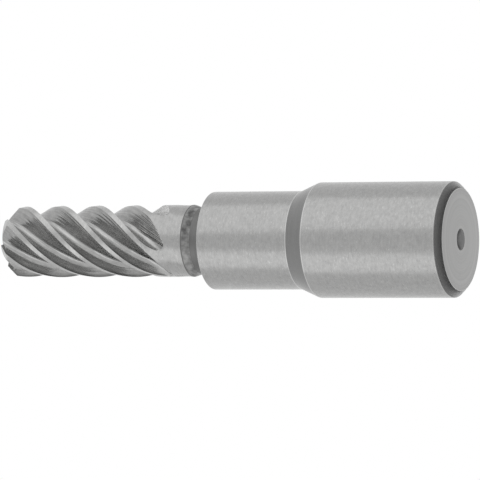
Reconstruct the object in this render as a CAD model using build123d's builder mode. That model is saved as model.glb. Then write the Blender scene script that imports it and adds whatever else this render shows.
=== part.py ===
"""A piloted reamer with six spiral flutes, turned, milled and ground from one bar of tool steel.

It stands on the flat back end of its body, with the cutting tip up. Z is the tool's axis, and
the sizes are millimetres. From the back end up come the body that the holder grips, a cone, the
pilot that guides the tool in its bore, a ground relief, and the fluted cutter.
"""

import os
from math import cos, degrees, radians, sin, sqrt

from build123d import *

# Body: the thick cylinder that is gripped
body_diameter = 17.0
body_length = 21.8
body_chamfer = 1.0

# Cone from the body down to the pilot
cone_length = 2.9

# Pilot: the ground guide cylinder
pilot_diameter = 14.5
pilot_length = 14.2
pilot_edge_chamfer = 0.15

# Relief: the shallow groove that lets the grinding wheel run out before the pilot's face
relief_length = 3.4
relief_depth = 0.45
relief_slope_length = 1.3
relief_corner = 0.3

# Cutter: the fluted end and the short plain neck behind it
cutter_diameter = 10.7
neck_length = 2.6
flute_length = 23.3
runout_length = 4.2
lead_taper_length = 3.6
lead_taper_drop = 0.15
lead_chamfer = 1.25

# Flutes: a right-hand spiral, each with a hooked cutting face, a round floor and a hollow back
flute_count = 6
flute_lead = 36.5
core_diameter = 6.9
land_width = 1.0
rake_angle = 5.0
floor_radius = 1.3
floor_turn = 80.0
first_edge_angle = 22.5
runout_swing = 22.0
runout_steps = 3

# Centre holes left in both ends, which the tool was ground between
centre_drill_diameter = 1.6
centre_mouth_diameter = 3.2
centre_drill_depth = 3.4
centre_mouth_angle = 60.0

# Room that the cutting shapes take outside the bar
overcut = 1.0

# Radii and heights that follow from the sizes above
body_radius = body_diameter / 2
pilot_radius = pilot_diameter / 2
cutter_radius = cutter_diameter / 2
core_radius = core_diameter / 2
relief_radius = cutter_radius - relief_depth

cone_foot = body_length
pilot_foot = cone_foot + cone_length
pilot_top = pilot_foot + pilot_length
relief_top = pilot_top + relief_length
runout_foot = relief_top + neck_length
flute_foot = runout_foot + runout_length
tip_height = flute_foot + flute_length


def edge_angle(height):
    """Angle, in degrees about Z, of the first cutting edge at a height."""
    return first_edge_angle + 360 * (height - tip_height) / flute_lead


def flute_sketch(height):
    """The shape that one flute takes out of a cross-section, with its cutting edge on local X."""
    rake = radians(rake_angle)
    heel_angle = 2 * 180 / flute_count - degrees(land_width / cutter_radius)

    # Below the full depth the wheel lifts out along its face, and swings towards the heel.
    leaving = (max(0, flute_foot - height) / runout_length) ** 2
    lift = leaving * (cutter_radius - core_radius + overcut / 4)
    swing = leaving * runout_swing
    shift = Vector(lift * cos(rake), lift * sin(rake))

    # The straight cutting face ends where the round floor can reach down to the core circle.
    reach = (
        cutter_radius**2
        + floor_radius**2
        - 2 * cutter_radius * floor_radius * sin(rake)
        - (core_radius + floor_radius) ** 2
    )
    face_depth = cutter_radius * cos(rake) - sqrt((cutter_radius * cos(rake)) ** 2 - reach)
    inward = Vector(-cos(rake), -sin(rake))
    edge = Vector(cutter_radius, 0) + shift
    heel = Vector(cutter_radius, 0).rotate(Axis.Z, heel_angle) + shift
    heel_outward = Vector(1, 0).rotate(Axis.Z, heel_angle)

    plane = Plane(
        origin=(0, 0, height),
        x_dir=Vector(1, 0).rotate(Axis.Z, edge_angle(height) + swing),
        z_dir=(0, 0, 1),
    )
    with BuildSketch(plane) as flute:
        with BuildLine():
            face = Line(edge - inward * overcut, edge + inward * face_depth)
            floor = JernArc(face @ 1, inward, floor_radius, -floor_turn)
            back = TangentArc(floor @ 1, heel, tangent=floor % 1)
            outer = Line(back @ 1, heel + heel_outward * overcut)
            Line(outer @ 1, face @ 0)
        make_face()
    return flute.sketch


# One flute: the spiral at full depth, and below it the run-out where the wheel lifts away
with BuildPart() as flute_cut:
    spiral = Solid.extrude_linear_with_rotation(
        section=flute_sketch(flute_foot).face(),
        center=(0, 0, flute_foot),
        normal=(0, 0, flute_length + overcut),
        angle=360 * (flute_length + overcut) / flute_lead,
    )
    add(spiral)
    heights = [flute_foot - runout_length * step / runout_steps for step in range(runout_steps + 1)]
    loft([flute_sketch(height) for height in heights])

with BuildPart() as reamer:
    # The turned bar: body, cone, pilot, relief, neck and cutter in one outline
    with BuildSketch(Plane.XZ):
        with BuildLine():
            Polyline(
                (0, 0),
                (body_radius - body_chamfer, 0),
                (body_radius, body_chamfer),
                (body_radius, cone_foot),
                (pilot_radius, pilot_foot),
                (pilot_radius, pilot_top - pilot_edge_chamfer),
                (pilot_radius - pilot_edge_chamfer, pilot_top),
                (relief_radius + relief_corner, pilot_top),
                (relief_radius, pilot_top + relief_corner),
                (relief_radius, relief_top - relief_slope_length),
                (cutter_radius, relief_top),
                (cutter_radius, tip_height - lead_taper_length),
                (cutter_radius - lead_taper_drop, tip_height - lead_chamfer),
                (cutter_radius - lead_taper_drop - lead_chamfer, tip_height),
                (0, tip_height),
                close=True,
            )
        make_face()
    revolve(axis=Axis.Z)

    # Six flutes, evenly spaced
    with PolarLocations(0, flute_count):
        add(flute_cut.part, mode=Mode.SUBTRACT)

    # A centre hole in each end
    with Locations(Plane.XY.offset(tip_height), Plane.XY.rotated((180, 0, 0))):
        CounterSinkHole(
            radius=centre_drill_diameter / 2,
            counter_sink_radius=centre_mouth_diameter / 2,
            depth=centre_drill_depth,
            counter_sink_angle=centre_mouth_angle,
        )

os.makedirs("parts", exist_ok=True)
reamer.part.label = "reamer"
export_step(reamer.part, "parts/reamer.step")
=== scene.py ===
"""A piloted reamer with six spiral flutes, in soft studio light. Metres, with Z up the tool's axis."""

import math

import bmesh
import bpy
from mathutils import Matrix, Vector


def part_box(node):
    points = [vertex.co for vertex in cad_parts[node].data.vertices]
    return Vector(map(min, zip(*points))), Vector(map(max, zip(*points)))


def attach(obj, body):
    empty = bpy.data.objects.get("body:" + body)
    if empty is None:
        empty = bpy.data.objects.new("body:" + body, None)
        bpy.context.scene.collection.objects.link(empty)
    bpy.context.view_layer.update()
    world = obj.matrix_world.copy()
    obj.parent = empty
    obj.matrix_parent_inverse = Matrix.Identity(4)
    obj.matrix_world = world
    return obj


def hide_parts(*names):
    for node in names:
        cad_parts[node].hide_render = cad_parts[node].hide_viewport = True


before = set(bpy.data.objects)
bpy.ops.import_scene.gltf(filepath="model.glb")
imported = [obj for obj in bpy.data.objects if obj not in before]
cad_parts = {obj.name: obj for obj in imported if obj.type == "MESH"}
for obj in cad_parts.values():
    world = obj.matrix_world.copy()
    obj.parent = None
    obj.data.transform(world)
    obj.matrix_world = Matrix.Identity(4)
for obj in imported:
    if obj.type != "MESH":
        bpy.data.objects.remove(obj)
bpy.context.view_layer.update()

# Bar
# The tool starts as one bar of tool steel, turned to a body, a cone, a pilot, a relief, a neck and
# a cutter. Its outline runs from the back end's centre hole, round the outside, to the tip's.
MM = 0.001
high_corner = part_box("reamer")[1]
tip_height = high_corner[2]
body_radius = high_corner[0]
pilot_radius = 7.25 * MM
cutter_radius = 5.35 * MM
relief_radius = 4.9 * MM
cone_foot = 21.8 * MM
pilot_foot = 24.7 * MM
pilot_top = 38.9 * MM
relief_top = 42.3 * MM
runout_foot = 44.9 * MM
flute_foot = 49.1 * MM
body_chamfer = 1.0 * MM
relief_slope_length = 1.3 * MM
relief_corner = 0.3 * MM
lead_taper_length = 3.6 * MM
lead_taper_drop = 0.15 * MM
lead_chamfer = 1.25 * MM
edge_break = 0.08 * MM
drill_radius = 0.8 * MM
drill_depth = 3.4 * MM
mouth_radius = 1.6 * MM
mouth_half_angle = math.radians(30)
mouth_depth = (mouth_radius - drill_radius) / math.tan(mouth_half_angle)
taper_foot = tip_height - lead_taper_length
chamfer_foot = tip_height - lead_chamfer


def broken_corner(before, corner, after, size, steps=4):
    """Points of a small round edge in place of a corner of the outline."""
    before, corner, after = Vector(before), Vector(corner), Vector(after)
    start = corner + (before - corner).normalized() * size
    end = corner + (after - corner).normalized() * size
    points = []
    for step in range(steps + 1):
        t = step / steps
        points.append(tuple(start.lerp(corner, t).lerp(corner.lerp(end, t), t)))
    return points


def rising(start, end, step):
    """Heights from start to end, evenly spaced at about a step."""
    count = max(1, round((end - start) / step))
    return [start + (end - start) * i / count for i in range(count + 1)]


# Each row of the outline has the finish of the surface below it, and the outer corners are polished and
# painted brighter, as a highlight along each edge.
ground, turned, undercut, blotched, polished, faced = range(6)
corners = [
    (mouth_radius, 0, turned, turned),
    (body_radius - body_chamfer, 0, faced, polished),
    (body_radius, body_chamfer, turned, polished),
    (body_radius, cone_foot, ground, polished),
    (pilot_radius, pilot_foot, turned, polished),
    (pilot_radius, pilot_top, ground, polished),
    (relief_radius + relief_corner, pilot_top, undercut, undercut),
    (relief_radius, pilot_top + relief_corner, undercut, undercut),
    (relief_radius, relief_top - relief_slope_length, undercut, undercut),
    (cutter_radius, relief_top, blotched, undercut),
    (cutter_radius, runout_foot, ground, ground),
]
rows = [
    (drill_radius, drill_depth, turned),
    (drill_radius, mouth_depth, turned),
    (mouth_radius, 0, turned),
]
for before, corner, after in zip(corners, corners[1:], corners[2:]):
    finish, corner_finish = corner[2:]
    points = broken_corner(before[:2], corner[:2], after[:2], edge_break)
    rows.append((*points[0], finish))
    rows += [(*point, corner_finish) for point in points[1:]]

# Rows stand close together where the flutes are cut, and closer still where they end.
row_step = 0.2 * MM
end_row_step = 0.1 * MM
rows += [(cutter_radius, z, ground) for z in rising(runout_foot, flute_foot, end_row_step)]
rows += [(cutter_radius, z, ground) for z in rising(flute_foot, taper_foot, row_step)[1:]]
taper_slope = lead_taper_drop / (chamfer_foot - taper_foot)
for z in rising(taper_foot, chamfer_foot, row_step)[1:]:
    rows.append((cutter_radius - (z - taper_foot) * taper_slope, z, ground))
for z in rising(chamfer_foot, tip_height, end_row_step)[1:]:
    rows.append((cutter_radius - lead_taper_drop - (z - chamfer_foot), z, ground))
rows += [
    (mouth_radius, tip_height, faced),
    (drill_radius, tip_height - mouth_depth, turned),
    (drill_radius, tip_height - drill_depth, turned),
]

# Columns stand at the same places on each tooth: its land, its cutting edge, and across its flute.
flute_count = 6
tooth_angle = 2 * math.pi / flute_count
land_width = 0.95 * MM
land_angle = land_width / cutter_radius
edge_step = math.radians(0.3)
flute_span = tooth_angle - land_angle - 2 * edge_step
land_parts = 4
flute_parts = 40
columns = [-land_angle * (1 - i / land_parts) for i in range(land_parts + 1)]
columns += [edge_step + flute_span * i / flute_parts for i in range(flute_parts + 1)]

bar_mesh = bmesh.new()
place_layer = bar_mesh.verts.layers.float.new("tooth_place")
rings = []
for radius, height, _ in rows:
    ring = []
    for tooth in range(flute_count):
        for place in columns:
            angle = tooth * tooth_angle + place
            vertex = bar_mesh.verts.new((radius * math.cos(angle), radius * math.sin(angle), height))
            vertex[place_layer] = place
            ring.append(vertex)
    rings.append(ring)
for lower, upper, (_, _, finish) in zip(rings, rings[1:], rows[1:]):
    for i in range(len(lower)):
        j = (i + 1) % len(lower)
        face = bar_mesh.faces.new((lower[i], lower[j], upper[j], upper[i]))
        face.material_index = finish
bar_mesh.faces.new(list(reversed(rings[0]))).material_index = turned
bar_mesh.faces.new(rings[-1]).material_index = turned
for face in bar_mesh.faces:
    face.smooth = True
bar_data = bpy.data.meshes.new("turned_bar")
bar_mesh.to_mesh(bar_data)
bar_mesh.free()
bar = bpy.data.objects.new("turned_bar", bar_data)
bpy.context.collection.objects.link(bar)

# Finishes
# The cylinders are ground bright, and the cone and the back chamfer stay as turned, under a thin film
# of oil; their darker colour is painted shade on the back chamfer. The groove's dark colour is painted
# shade, its slope is blotched, the edges are polished and painted brighter as a highlight, and the ends
# are faced. These six and the flutes' own finish share one group of tool marks.


def group_socket(group, name, kind, direction="INPUT", value=None):
    """A named socket of a node group, with its value."""
    socket = group.interface.new_socket(name, in_out=direction, socket_type=kind)
    if value is not None:
        socket.default_value = value
    return socket


tool_marks = bpy.data.node_groups.new("tool_marks", "ShaderNodeTree")
group_socket(tool_marks, "Coordinates", "NodeSocketVector")
group_socket(tool_marks, "Streak Scale", "NodeSocketVector", value=(1000, 1000, 3000))
group_socket(tool_marks, "Mottle Scale", "NodeSocketFloat", value=900)
group_socket(tool_marks, "Mottle Share", "NodeSocketFloat", value=0.4)
group_socket(tool_marks, "Speck Gain", "NodeSocketFloat", value=0.0)
group_socket(tool_marks, "Tone", "NodeSocketFloat", "OUTPUT")
group_socket(tool_marks, "Height", "NodeSocketFloat", "OUTPUT")
nodes, links = tool_marks.nodes, tool_marks.links
given = nodes.new("NodeGroupInput")
put_out = nodes.new("NodeGroupOutput")

# Fine streaks, drawn out by a scale for each direction, blend with an even mottle.
stretch = nodes.new("ShaderNodeVectorMath")
stretch.operation = "MULTIPLY"
links.new(given.outputs["Coordinates"], stretch.inputs[0])
links.new(given.outputs["Streak Scale"], stretch.inputs[1])
streaks = nodes.new("ShaderNodeTexNoise")
streaks.inputs["Scale"].default_value = 1.0
streaks.inputs["Detail"].default_value = 4.0
streaks.inputs["Roughness"].default_value = 0.65
links.new(stretch.outputs[0], streaks.inputs["Vector"])
mottle = nodes.new("ShaderNodeTexNoise")
mottle.inputs["Detail"].default_value = 3.0
mottle.inputs["Roughness"].default_value = 0.6
links.new(given.outputs["Coordinates"], mottle.inputs["Vector"])
links.new(given.outputs["Mottle Scale"], mottle.inputs["Scale"])
blend = nodes.new("ShaderNodeMix")
links.new(given.outputs["Mottle Share"], blend.inputs["Factor"])
links.new(streaks.outputs["Fac"], blend.inputs["A"])
links.new(mottle.outputs["Fac"], blend.inputs["B"])
spread = nodes.new("ShaderNodeMapRange")
spread.inputs["From Min"].default_value = 0.3
spread.inputs["From Max"].default_value = 0.7
links.new(blend.outputs["Result"], spread.inputs["Value"])

# The peaks of a coarser noise are bright specks on top.
specks = nodes.new("ShaderNodeTexNoise")
specks.inputs["Scale"].default_value = 1.6
specks.inputs["Detail"].default_value = 2.0
links.new(stretch.outputs[0], specks.inputs["Vector"])
peaks = nodes.new("ShaderNodeMapRange")
peaks.inputs["From Min"].default_value = 0.62
peaks.inputs["From Max"].default_value = 0.78
links.new(specks.outputs["Fac"], peaks.inputs["Value"])
glint = nodes.new("ShaderNodeMath")
glint.operation = "MULTIPLY"
links.new(peaks.outputs["Result"], glint.inputs[0])
links.new(given.outputs["Speck Gain"], glint.inputs[1])
tone = nodes.new("ShaderNodeMath")
tone.operation = "ADD"
links.new(spread.outputs["Result"], tone.inputs[0])
links.new(glint.outputs[0], tone.inputs[1])
links.new(tone.outputs[0], put_out.inputs["Tone"])
links.new(streaks.outputs["Fac"], put_out.inputs["Height"])


def marks_place(nodes, links, along):
    """Where marks lie: in the object's own space, in rings round its axis, or along a stored way."""
    if along == "object":
        return nodes.new("ShaderNodeTexCoord").outputs["Object"]
    if along == "rings":
        flat = nodes.new("ShaderNodeVectorMath")
        flat.operation = "MULTIPLY"
        flat.inputs[1].default_value = (1, 1, 0)
        links.new(nodes.new("ShaderNodeTexCoord").outputs["Object"], flat.inputs[0])
        from_axis = nodes.new("ShaderNodeVectorMath")
        from_axis.operation = "LENGTH"
        links.new(flat.outputs[0], from_axis.inputs[0])
        ring = nodes.new("ShaderNodeCombineXYZ")
        links.new(from_axis.outputs["Value"], ring.inputs["X"])
        return ring.outputs[0]
    stored_way = nodes.new("ShaderNodeAttribute")
    stored_way.attribute_name = along
    return stored_way.outputs["Vector"]


def steel_finish(
    name,
    dark,
    light,
    roughness,
    streak_scale,
    mottle_scale,
    mottle_share,
    depth,
    speck_gain=0.0,
    oil=0.0,
    along="object",
):
    """A metal whose tool marks vary its colour, its gloss and its surface a little."""
    material = bpy.data.materials.new(name)
    material.use_nodes = True
    nodes, links = material.node_tree.nodes, material.node_tree.links
    shader = nodes["Principled BSDF"]
    shader.inputs["Metallic"].default_value = 1.0
    shader.inputs["Coat Weight"].default_value = oil
    shader.inputs["Coat Roughness"].default_value = 0.35
    marks = nodes.new("ShaderNodeGroup")
    marks.node_tree = tool_marks
    marks.inputs["Streak Scale"].default_value = streak_scale
    marks.inputs["Mottle Scale"].default_value = mottle_scale
    marks.inputs["Mottle Share"].default_value = mottle_share
    marks.inputs["Speck Gain"].default_value = speck_gain
    links.new(marks_place(nodes, links, along), marks.inputs["Coordinates"])
    colour = nodes.new("ShaderNodeMix")
    colour.data_type = "RGBA"
    colour.clamp_factor = False
    colour.inputs["A"].default_value = (*dark, 1)
    colour.inputs["B"].default_value = (*light, 1)
    links.new(marks.outputs["Tone"], colour.inputs["Factor"])
    links.new(colour.outputs["Result"], shader.inputs["Base Color"])
    smoothest, roughest = roughness
    gloss = nodes.new("ShaderNodeMapRange")
    gloss.inputs["To Min"].default_value = roughest
    gloss.inputs["To Max"].default_value = smoothest
    links.new(marks.outputs["Tone"], gloss.inputs["Value"])
    links.new(gloss.outputs["Result"], shader.inputs["Roughness"])
    relief = nodes.new("ShaderNodeBump")
    relief.inputs["Strength"].default_value = 1.0
    relief.inputs["Distance"].default_value = depth
    links.new(marks.outputs["Height"], relief.inputs["Height"])
    links.new(relief.outputs["Normal"], shader.inputs["Normal"])
    return material


ground_steel = steel_finish(
    "ground_steel",
    dark=(0.28, 0.28, 0.278),
    light=(0.375, 0.375, 0.371),
    roughness=(0.22, 0.3),
    streak_scale=(1100, 1100, 3600),
    mottle_scale=1700,
    mottle_share=0.45,
    depth=0.004 * MM,
    speck_gain=1.1,
)
# The turned finish is darker than the ground one, and on the back chamfer this dark colour is painted
# shade.
turned_and_shaded_steel = steel_finish(
    "turned_and_shaded_steel",
    dark=(0.145, 0.145, 0.144),
    light=(0.17, 0.17, 0.169),
    roughness=(0.36, 0.44),
    streak_scale=(300, 300, 5000),
    mottle_scale=700,
    mottle_share=0.2,
    depth=0.003 * MM,
    oil=1.0,
)
# The groove's dark colour is painted shade, darker than the steel's own tone.
shaded_undercut_steel = steel_finish(
    "shaded_undercut_steel",
    dark=(0.13, 0.13, 0.129),
    light=(0.165, 0.165, 0.163),
    roughness=(0.4, 0.5),
    streak_scale=(300, 300, 4000),
    mottle_scale=600,
    mottle_share=0.4,
    depth=0.004 * MM,
)
blotched_steel = steel_finish(
    "blotched_steel",
    dark=(0.03, 0.03, 0.03),
    light=(0.37, 0.37, 0.366),
    roughness=(0.3, 0.5),
    streak_scale=(350, 350, 1500),
    mottle_scale=800,
    mottle_share=0.7,
    depth=0.01 * MM,
)
# The polished edges are real, and their brighter colour is also a painted highlight along each edge.
polished_highlit_steel = steel_finish(
    "polished_highlit_steel",
    dark=(0.40, 0.40, 0.397),
    light=(0.50, 0.50, 0.496),
    roughness=(0.18, 0.28),
    streak_scale=(900, 900, 3200),
    mottle_scale=1500,
    mottle_share=0.5,
    depth=0.002 * MM,
)
faced_steel = steel_finish(
    "faced_steel",
    dark=(0.25, 0.25, 0.248),
    light=(0.36, 0.36, 0.356),
    roughness=(0.26, 0.34),
    streak_scale=(5000, 0, 0),
    mottle_scale=900,
    mottle_share=0.4,
    depth=0.004 * MM,
    along="rings",
)

# The bar takes them in the order in which its rows number them.
for finish in (ground_steel, turned_and_shaded_steel, shaded_undercut_steel, blotched_steel, polished_highlit_steel, faced_steel):
    bar_data.materials.append(finish)

# Flutes
# Each flute is ground along a right-hand spiral: a hooked cutting face, a round floor, and a
# slightly crowned back up to the next land. Below the full depth the wheel lifts out along its
# face, and swings towards the heel.
flute_lead = 36.5 * MM
core_radius = 3.45 * MM
floor_radius = 1.15 * MM
rake_angle = math.radians(3)
first_edge_angle = math.radians(22.5)
land_relief = 0.12 * MM
back_crown = 0.13 * MM
runout_swing = math.radians(22)
clear_of_bar = 0.2 * MM
clear_of_hole = 0.1 * MM
wheel_lift = cutter_radius - core_radius + clear_of_bar

# The face ends where the round floor can reach the core, and the back leaves the floor smoothly.
reach = (
    cutter_radius**2
    + floor_radius**2
    - 2 * cutter_radius * floor_radius * math.sin(rake_angle)
    - (core_radius + floor_radius) ** 2
)
rake_run = cutter_radius * math.cos(rake_angle)
face_depth = rake_run - math.sqrt(rake_run**2 - reach)
inward = Vector((-math.cos(rake_angle), -math.sin(rake_angle)))
face_foot = Vector((cutter_radius, 0)) + face_depth * inward
floor_centre = face_foot + floor_radius * Vector((-math.sin(rake_angle), math.cos(rake_angle)))
heel_angle = tooth_angle - land_angle
heel = (cutter_radius - land_relief) * Vector((math.cos(heel_angle), math.sin(heel_angle)))
to_heel = heel - floor_centre
tangent_turn = math.atan2(to_heel.y, to_heel.x) + math.acos(floor_radius / to_heel.length)
floor_end = floor_centre + floor_radius * Vector((math.cos(tangent_turn), math.sin(tangent_turn)))
back_way = (heel - floor_end).normalized()
back_normal = Vector((back_way.y, -back_way.x))

fluted_steel = steel_finish(
    "fluted_steel",
    dark=(0.235, 0.235, 0.233),
    light=(0.41, 0.41, 0.406),
    roughness=(0.16, 0.3),
    streak_scale=(2800, 200, 0),
    mottle_scale=1100,
    mottle_share=0.35,
    depth=0.006 * MM,
    along="flute_way",
)


def band(value, between, shades):
    """A shade that runs from one level to another between two places."""
    node = nodes.new("ShaderNodeMapRange")
    node.inputs["From Min"].default_value, node.inputs["From Max"].default_value = between
    node.inputs["To Min"].default_value, node.inputs["To Max"].default_value = shades
    links.new(value, node.inputs["Value"])
    return node.outputs["Result"]


def combine(operation, first, second):
    """The product or other combination of two shades."""
    node = nodes.new("ShaderNodeMath")
    node.operation = operation
    links.new(first, node.inputs[0])
    links.new(second, node.inputs[1])
    return node.outputs[0]


def shade_colour(shade):
    """Brightens or darkens the finish's colour by a shade."""
    base = nodes["Principled BSDF"].inputs["Base Color"]
    shaded = nodes.new("ShaderNodeVectorMath")
    shaded.operation = "SCALE"
    links.new(base.links[0].from_socket, shaded.inputs[0])
    links.new(shade, shaded.inputs["Scale"])
    links.new(shaded.outputs[0], base)


def flute_way():
    """The stored way along a flute, with its first two parts: the place across, and the height."""
    way = nodes.new("ShaderNodeAttribute")
    way.attribute_name = "flute_way"
    parts = nodes.new("ShaderNodeSeparateXYZ")
    links.new(way.outputs["Vector"], parts.inputs[0])
    return way.outputs["Vector"], parts.outputs["X"], parts.outputs["Y"]


# Painted shade and highlight on the flutes: the cutting face is painted darker towards its edge and
# lighter in its middle, the floor is painted brighter as a highlight and the back darker as shade, and
# the back is painted brighter still, as a highlight, where the flute runs out.
nodes, links = fluted_steel.node_tree.nodes, fluted_steel.node_tree.links
way, way_across, way_up = flute_way()
face_painted_shade = band(way_across, (-face_depth, -0.35 * MM), (0.4, 1.1))
floor_highlight_back_shade = band(way_across, (0.9 * MM, 1.6 * MM), (1.1, 0.87))
on_back = band(way_across, (1.1 * MM, 1.7 * MM), (0.0, 1.0))
leaving_metal = band(way_up, (flute_foot - 3.6 * MM, flute_foot - 0.8 * MM), (1.0, 0.0))
runout_painted_highlight = band(combine("MULTIPLY", leaving_metal, on_back), (0.0, 1.0), (1.0, 1.8))
shade_colour(combine("MULTIPLY", combine("MULTIPLY", face_painted_shade, floor_highlight_back_shade), runout_painted_highlight))

# The wheel has left fine lines along the back, deepest towards the next land and where a flute ends.
line_scale = (3000, 40, 0)
deepest_line = 0.14 * MM
stretch = nodes.new("ShaderNodeVectorMath")
stretch.operation = "MULTIPLY"
stretch.inputs[1].default_value = line_scale
links.new(way, stretch.inputs[0])
wheel_lines = nodes.new("ShaderNodeTexNoise")
wheel_lines.inputs["Scale"].default_value = 1.0
wheel_lines.inputs["Detail"].default_value = 1.0
links.new(stretch.outputs[0], wheel_lines.inputs["Vector"])
near_heel = band(way_across, (2.8 * MM, 3.8 * MM), (0.2, 1.3))
near_end = band(way_up, (flute_foot, flute_foot + 1.5 * MM), (2.2, 0.0))
line_share = combine("MAXIMUM", near_heel, combine("MULTIPLY", near_end, on_back))
line_relief = nodes.new("ShaderNodeBump")
line_relief.inputs["Distance"].default_value = deepest_line
links.new(combine("MULTIPLY", wheel_lines.outputs["Fac"], line_share), line_relief.inputs["Height"])
surface = nodes["Principled BSDF"].inputs["Normal"]
links.new(surface.links[0].from_socket, line_relief.inputs["Normal"])
links.new(line_relief.outputs["Normal"], surface)

# The lands are ground last, and are brighter than the neck that they run into.
nodes, links = ground_steel.node_tree.nodes, ground_steel.node_tree.links
_, way_across, way_up = flute_way()
on_land = band(way_across, (-face_depth - 0.02 * MM, -face_depth), (1.0, 0.0))
on_chamfer = band(way_up, (chamfer_foot - 0.2 * MM, chamfer_foot), (0.0, 1.0))
on_cutter = band(way_up, (runout_foot + 1.0 * MM, flute_foot + 1.0 * MM), (0.0, 1.0))
ground_last = combine("MULTIPLY", combine("MAXIMUM", on_land, on_chamfer), on_cutter)
shade_colour(band(ground_last, (0.0, 1.0), (1.0, 1.18)))

# The tree moves each point of the bar to where the wheel leaves the metal.
spiral_flutes = bpy.data.node_groups.new("spiral_flutes", "GeometryNodeTree")
group_socket(spiral_flutes, "Geometry", "NodeSocketGeometry", "OUTPUT")
group_socket(spiral_flutes, "Geometry", "NodeSocketGeometry")
flute_sizes = {
    "Lead": flute_lead,
    "First Edge Angle": first_edge_angle,
    "Tip Height": tip_height,
    "Full Depth Height": flute_foot,
    "Run-out Height": runout_foot,
    "Run-out Swing": runout_swing,
    "Wheel Lift": wheel_lift,
    "Cutter Radius": cutter_radius,
    "Hole Clear Radius": mouth_radius + clear_of_hole,
    "Tooth Angle": tooth_angle,
    "Land Angle": land_angle,
    "Land Relief": land_relief,
    "Rake Angle": rake_angle,
    "Face Depth": face_depth,
    "Floor Centre X": floor_centre.x,
    "Floor Centre Y": floor_centre.y,
    "Floor Radius": floor_radius,
    "Floor End X": floor_end.x,
    "Floor End Y": floor_end.y,
    "Back Distance": heel.dot(back_normal),
    "Back Angle": math.atan2(back_normal.y, back_normal.x),
    "Back Start": floor_end.dot(back_way),
    "Back Length": (heel - floor_end).length,
    "Back Crown": back_crown,
    "Heel Angle": heel_angle,
}
flute_sockets = {name: group_socket(spiral_flutes, name, "NodeSocketFloat") for name in flute_sizes}
finish_socket = group_socket(spiral_flutes, "Flute Finish", "NodeSocketMaterial")
nodes, links = spiral_flutes.nodes, spiral_flutes.links
given = nodes.new("NodeGroupInput")

# A height, a depth or an angle under a hair's breadth counts as none.
hair = 0.01 * MM


def named(size):
    """One of the tree's named sizes."""
    return given.outputs[size]


def calculate(operation, first, second=0.0):
    """One sum on the mesh's values: each term is a socket or a plain number."""
    node = nodes.new("ShaderNodeMath")
    node.operation = operation
    for socket, term in zip(node.inputs, (first, second)):
        if isinstance(term, (int, float)):
            socket.default_value = term
        else:
            links.new(term, socket)
    return node.outputs[0]


def square(value):
    """A value times itself."""
    return calculate("MULTIPLY", value, value)


def choose(test, when_true, when_false):
    """One of two values, by a test that is 0 or 1."""
    gain = calculate("MULTIPLY", test, calculate("SUBTRACT", when_true, when_false))
    return calculate("ADD", when_false, gain)


stored_place = nodes.new("GeometryNodeInputNamedAttribute")
stored_place.inputs["Name"].default_value = "tooth_place"
tooth_place = stored_place.outputs["Attribute"]
position = nodes.new("GeometryNodeInputPosition")
axes = nodes.new("ShaderNodeSeparateXYZ")
links.new(position.outputs[0], axes.inputs[0])
height = axes.outputs["Z"]
around = calculate("ARCTAN2", axes.outputs["Y"], axes.outputs["X"])
bar_radius = calculate("ADD", square(axes.outputs["X"]), square(axes.outputs["Y"]))
bar_radius = calculate("SQRT", bar_radius)

# The spiral turns every row above the run-out by its height, and the wheel leaves below full depth.
spiral_height = calculate("MAXIMUM", height, named("Run-out Height"))
from_tip = calculate("SUBTRACT", spiral_height, named("Tip Height"))
turned_by = calculate("MULTIPLY", calculate("DIVIDE", from_tip, named("Lead")), 2 * math.pi)
twist = calculate("ADD", named("First Edge Angle"), turned_by)
below = calculate("MAXIMUM", calculate("SUBTRACT", named("Full Depth Height"), height), 0.0)
runout = calculate("SUBTRACT", named("Full Depth Height"), named("Run-out Height"))
leaving = square(calculate("DIVIDE", below, runout))
lift = calculate("MULTIPLY", leaving, named("Wheel Lift"))
lift_x = calculate("MULTIPLY", lift, calculate("COSINE", named("Rake Angle")))
lift_y = calculate("MULTIPLY", lift, calculate("SINE", named("Rake Angle")))

# In the run-out every point across the tooth moves on with the wheel, least at the far edges.
in_flute = calculate("GREATER_THAN", tooth_place, hair)
in_reach = calculate("GREATER_THAN", height, calculate("SUBTRACT", named("Run-out Height"), hair))
swing = calculate("MULTIPLY", calculate("MULTIPLY", leaving, named("Run-out Swing")), in_reach)
from_heel = calculate("SUBTRACT", 1.0, calculate("DIVIDE", tooth_place, named("Heel Angle")))
from_land = calculate("ADD", 1.0, calculate("DIVIDE", tooth_place, named("Land Angle")))
moved_on = calculate("MULTIPLY", swing, choose(in_flute, from_heel, from_land))
from_face = calculate("SUBTRACT", calculate("ADD", tooth_place, moved_on), swing)

# The floor is a circle about a centre that the wheel carries along.
floor_x = calculate("ADD", named("Floor Centre X"), lift_x)
floor_y = calculate("ADD", named("Floor Centre Y"), lift_y)
cosine = calculate("COSINE", from_face)
sine = calculate("SINE", from_face)
floor_out = calculate("MULTIPLY", floor_x, cosine)
floor_out = calculate("ADD", floor_out, calculate("MULTIPLY", floor_y, sine))
floor_across = calculate("MULTIPLY", floor_x, sine)
floor_across = calculate("SUBTRACT", floor_across, calculate("MULTIPLY", floor_y, cosine))
half_chord = calculate("SUBTRACT", square(named("Floor Radius")), square(floor_across))
half_chord = calculate("SQRT", calculate("MAXIMUM", half_chord, 0.0))
floor_part = calculate("SUBTRACT", floor_out, half_chord)

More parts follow.
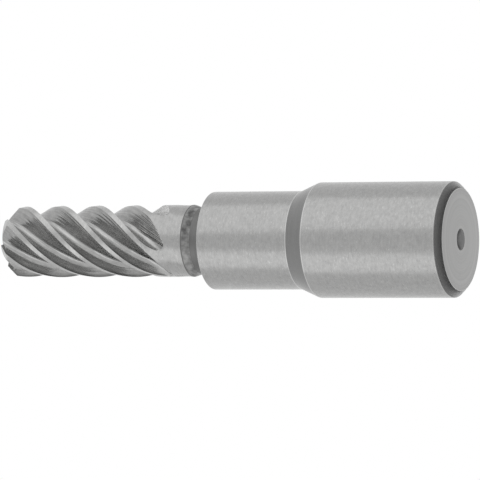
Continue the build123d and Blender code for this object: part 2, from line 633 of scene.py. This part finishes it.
# The back is a line from the floor to the heel, crowned by a parabola that is taken four times,
# because it peaks at a quarter.
lift_from_back = calculate("SUBTRACT", named("Rake Angle"), named("Back Angle"))
back_away = calculate("MULTIPLY", lift, calculate("COSINE", lift_from_back))
back_now = calculate("ADD", named("Back Distance"), back_away)
from_back = calculate("SUBTRACT", from_face, named("Back Angle"))
lift_along = calculate("MULTIPLY", lift, calculate("SINE", lift_from_back))
back_run = calculate("MULTIPLY", back_now, calculate("TANGENT", from_back))
back_run = calculate("SUBTRACT", back_run, lift_along)
back_run = calculate("SUBTRACT", back_run, named("Back Start"))
back_share = calculate("DIVIDE", back_run, named("Back Length"))
parabola = calculate("MULTIPLY", back_share, calculate("SUBTRACT", 1.0, back_share))
crowned = calculate("MULTIPLY", calculate("MAXIMUM", parabola, 0.0), named("Back Crown"))
back_now = calculate("ADD", back_now, calculate("MULTIPLY", crowned, 4.0))
back_part = calculate("DIVIDE", back_now, calculate("COSINE", from_back))
floor_end_x = calculate("ADD", named("Floor End X"), lift_x)
floor_end_y = calculate("ADD", named("Floor End Y"), lift_y)
on_floor = calculate("LESS_THAN", from_face, calculate("ARCTAN2", floor_end_y, floor_end_x))
section = choose(on_floor, floor_part, back_part)

# A land falls away a little behind its cutting edge, and a flute goes as deep as its section says.
behind = calculate("SUBTRACT", calculate("MULTIPLY", in_flute, named("Tooth Angle")), tooth_place)
drop = calculate("DIVIDE", behind, named("Land Angle"))
drop = calculate("MULTIPLY", drop, named("Land Relief"))
fallen = calculate("ADD", calculate("SUBTRACT", bar_radius, drop), lift)
off_hole = calculate("GREATER_THAN", bar_radius, named("Hole Clear Radius"))
on_tooth = calculate("MULTIPLY", in_reach, off_hole)
relieved = choose(on_tooth, calculate("MINIMUM", bar_radius, fallen), bar_radius)
cutting = calculate("MULTIPLY", in_flute, in_reach)
new_radius = choose(cutting, calculate("MINIMUM", relieved, section), relieved)
new_angle = calculate("ADD", calculate("ADD", around, twist), moved_on)
moved = nodes.new("ShaderNodeCombineXYZ")
links.new(calculate("MULTIPLY", new_radius, calculate("COSINE", new_angle)), moved.inputs["X"])
links.new(calculate("MULTIPLY", new_radius, calculate("SINE", new_angle)), moved.inputs["Y"])
links.new(height, moved.inputs["Z"])

# The place across the tooth, the height and the depth of cut stay on the mesh, for its finishes.
stored_way = nodes.new("ShaderNodeCombineXYZ")
up_the_back = calculate("MULTIPLY", tooth_place, named("Cutter Radius"))
up_the_face = calculate("SUBTRACT", up_the_back, named("Face Depth"))
links.new(choose(in_flute, up_the_back, up_the_face), stored_way.inputs["X"])
links.new(height, stored_way.inputs["Y"])
links.new(calculate("SUBTRACT", relieved, new_radius), stored_way.inputs["Z"])
keep_way = nodes.new("GeometryNodeStoreNamedAttribute")
keep_way.data_type = "FLOAT_VECTOR"
keep_way.inputs["Name"].default_value = "flute_way"
links.new(given.outputs["Geometry"], keep_way.inputs["Geometry"])
links.new(stored_way.outputs[0], keep_way.inputs["Value"])
shaped = nodes.new("GeometryNodeSetPosition")
links.new(keep_way.outputs[0], shaped.inputs["Geometry"])
links.new(moved.outputs[0], shaped.inputs["Position"])
whole = nodes.new("GeometryNodeRealizeInstances")
links.new(shaped.outputs[0], whole.inputs[0])

# What lies past a cutting edge and below the bar's surface has the finish of the flutes.
kept_way = nodes.new("GeometryNodeInputNamedAttribute")
kept_way.data_type = "FLOAT_VECTOR"
kept_way.inputs["Name"].default_value = "flute_way"
kept_parts = nodes.new("ShaderNodeSeparateXYZ")
links.new(kept_way.outputs["Attribute"], kept_parts.inputs[0])
cut_deep = calculate("GREATER_THAN", kept_parts.outputs["Z"], hair)
past_edge = calculate("GREATER_THAN", tooth_place, 0.0)
fluted = nodes.new("GeometryNodeSetMaterial")
links.new(whole.outputs[0], fluted.inputs["Geometry"])
links.new(given.outputs["Flute Finish"], fluted.inputs["Material"])
links.new(calculate("MULTIPLY", cut_deep, past_edge), fluted.inputs["Selection"])
result = nodes.new("NodeGroupOutput")
links.new(fluted.outputs[0], result.inputs[0])

# The tree's result becomes the tool's mesh, and the plain bar goes.
grinding = bar.modifiers.new("flutes", "NODES")
grinding.node_group = spiral_flutes
for name, value in flute_sizes.items():
    grinding[flute_sockets[name].identifier] = value
grinding[finish_socket.identifier] = fluted_steel
sharp_angle = math.radians(32)
reamer_data = bpy.data.meshes.new_from_object(bar.evaluated_get(bpy.context.evaluated_depsgraph_get()))
reamer_data.set_sharp_from_angle(angle=sharp_angle)
reamer = bpy.data.objects.new("ground_reamer", reamer_data)
bpy.context.collection.objects.link(reamer)
bpy.data.objects.remove(bar)

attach(reamer, "root")
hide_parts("reamer")

# Floor
# The floor is a pale sheet, open under the flat end, so that the camera sees that end lit. The
# camera looks up from below it, and the sheet is clear from that side.
floor_reach = 2.0
floor_sides = 96
floor_mesh = bmesh.new()
rims = []
for radius in (body_radius - body_chamfer, floor_reach):
    rim = []
    for i in range(floor_sides):
        angle = 2 * math.pi * i / floor_sides
        rim.append(floor_mesh.verts.new((radius * math.cos(angle), radius * math.sin(angle), 0)))
    rims.append(rim)
for i in range(floor_sides):
    j = (i + 1) % floor_sides
    floor_mesh.faces.new((rims[0][i], rims[1][i], rims[1][j], rims[0][j]))
floor_data = bpy.data.meshes.new("floor")
floor_mesh.to_mesh(floor_data)
floor_mesh.free()
floor = bpy.data.objects.new("floor", floor_data)
bpy.context.collection.objects.link(floor)
floor_paint = bpy.data.materials.new("floor_paint")
floor_paint.use_nodes = True
nodes, links = floor_paint.node_tree.nodes, floor_paint.node_tree.links
paint = nodes["Principled BSDF"]
paint.inputs["Base Color"].default_value = (0.88, 0.88, 0.88, 1)
paint.inputs["Roughness"].default_value = 0.8
clear = nodes.new("ShaderNodeBsdfTransparent")
side = nodes.new("ShaderNodeNewGeometry")
either = nodes.new("ShaderNodeMixShader")
links.new(side.outputs["Backfacing"], either.inputs[0])
links.new(paint.outputs[0], either.inputs[1])
links.new(clear.outputs[0], either.inputs[2])
links.new(either.outputs[0], nodes["Material Output"].inputs["Surface"])
floor_data.materials.append(floor_paint)

# Camera
# A long lens looks at the tool from behind its body and below the floor, so that the tip lies to
# the left. It stands far enough away that the circles along the tool look nearly alike.
look_angle = math.radians(23.5)
roll_angle = math.radians(0.295)
camera_distance = 0.8135
aim_offset = 0.085 * MM
tool_middle = Vector((0, 0, 35.0 * MM))
towards_camera = Vector((0, -math.cos(look_angle), -math.sin(look_angle)))
level_right = Vector((0, math.sin(look_angle), -math.cos(look_angle)))
level_up = Vector((1, 0, 0))
image_right = level_right * math.cos(roll_angle) - level_up * math.sin(roll_angle)
image_up = level_up * math.cos(roll_angle) + level_right * math.sin(roll_angle)
camera_place = tool_middle + image_up * aim_offset + towards_camera * camera_distance
camera_data = bpy.data.cameras.new("long_lens")
camera_data.lens = 412.5
camera_data.sensor_width = 36
camera_data.clip_start = 0.01
camera = bpy.data.objects.new("long_lens", camera_data)
camera_turn = Matrix((image_right, image_up, towards_camera)).transposed()
camera.matrix_world = Matrix.Translation(camera_place) @ camera_turn.to_4x4()
bpy.context.collection.objects.link(camera)
bpy.context.scene.camera = camera

# Light
# The room is plain white all round, and the camera and the metal see it as pure white. Two tall
# softboxes, one on each side of the camera, draw the bright bands along the cylinders.
room_world = bpy.data.worlds.new("room")
room_world.use_nodes = True
bpy.context.scene.world = room_world
nodes, links = room_world.node_tree.nodes, room_world.node_tree.links
room = nodes["Background"]
room.inputs["Color"].default_value = (1, 1, 1, 1)
room.inputs["Strength"].default_value = 0.9
backdrop = nodes.new("ShaderNodeBackground")
backdrop.inputs["Color"].default_value = (1, 1, 1, 1)
rays = nodes.new("ShaderNodeLightPath").outputs
seen_ray = combine("MAXIMUM", rays["Is Camera Ray"], rays["Is Glossy Ray"])
seen_ray = combine("MAXIMUM", seen_ray, rays["Is Transmission Ray"])
seen = nodes.new("ShaderNodeMixShader")
links.new(seen_ray, seen.inputs[0])
links.new(room.outputs[0], seen.inputs[1])
links.new(backdrop.outputs[0], seen.inputs[2])
links.new(seen.outputs[0], nodes["World Output"].inputs["Surface"])


def softbox(name, turn_angle, rise_angle, away, width, height, power):
    """A rectangular lamp that faces the tool's middle, with its height along the tool."""
    data = bpy.data.lights.new(name, "AREA")
    data.shape = "RECTANGLE"
    data.size = width
    data.size_y = height
    data.energy = power
    lamp = bpy.data.objects.new(name, data)
    turn, rise = math.radians(turn_angle), math.radians(rise_angle)
    outward = Vector((math.cos(turn) * math.cos(rise), math.sin(turn) * math.cos(rise), math.sin(rise)))
    tilt = outward.to_track_quat("Z", "Y").to_matrix().to_4x4()
    lamp.matrix_world = Matrix.Translation(tool_middle + outward * away) @ tilt
    lamp.visible_camera = False
    bpy.context.collection.objects.link(lamp)


softbox("upper_softbox", turn_angle=-33, rise_angle=22, away=1.0, width=1.3, height=0.9, power=1.53)
softbox("lower_softbox", turn_angle=-137, rise_angle=22, away=1.0, width=0.7, height=0.9, power=0.95)

bpy.context.scene.view_settings.view_transform = "Standard"
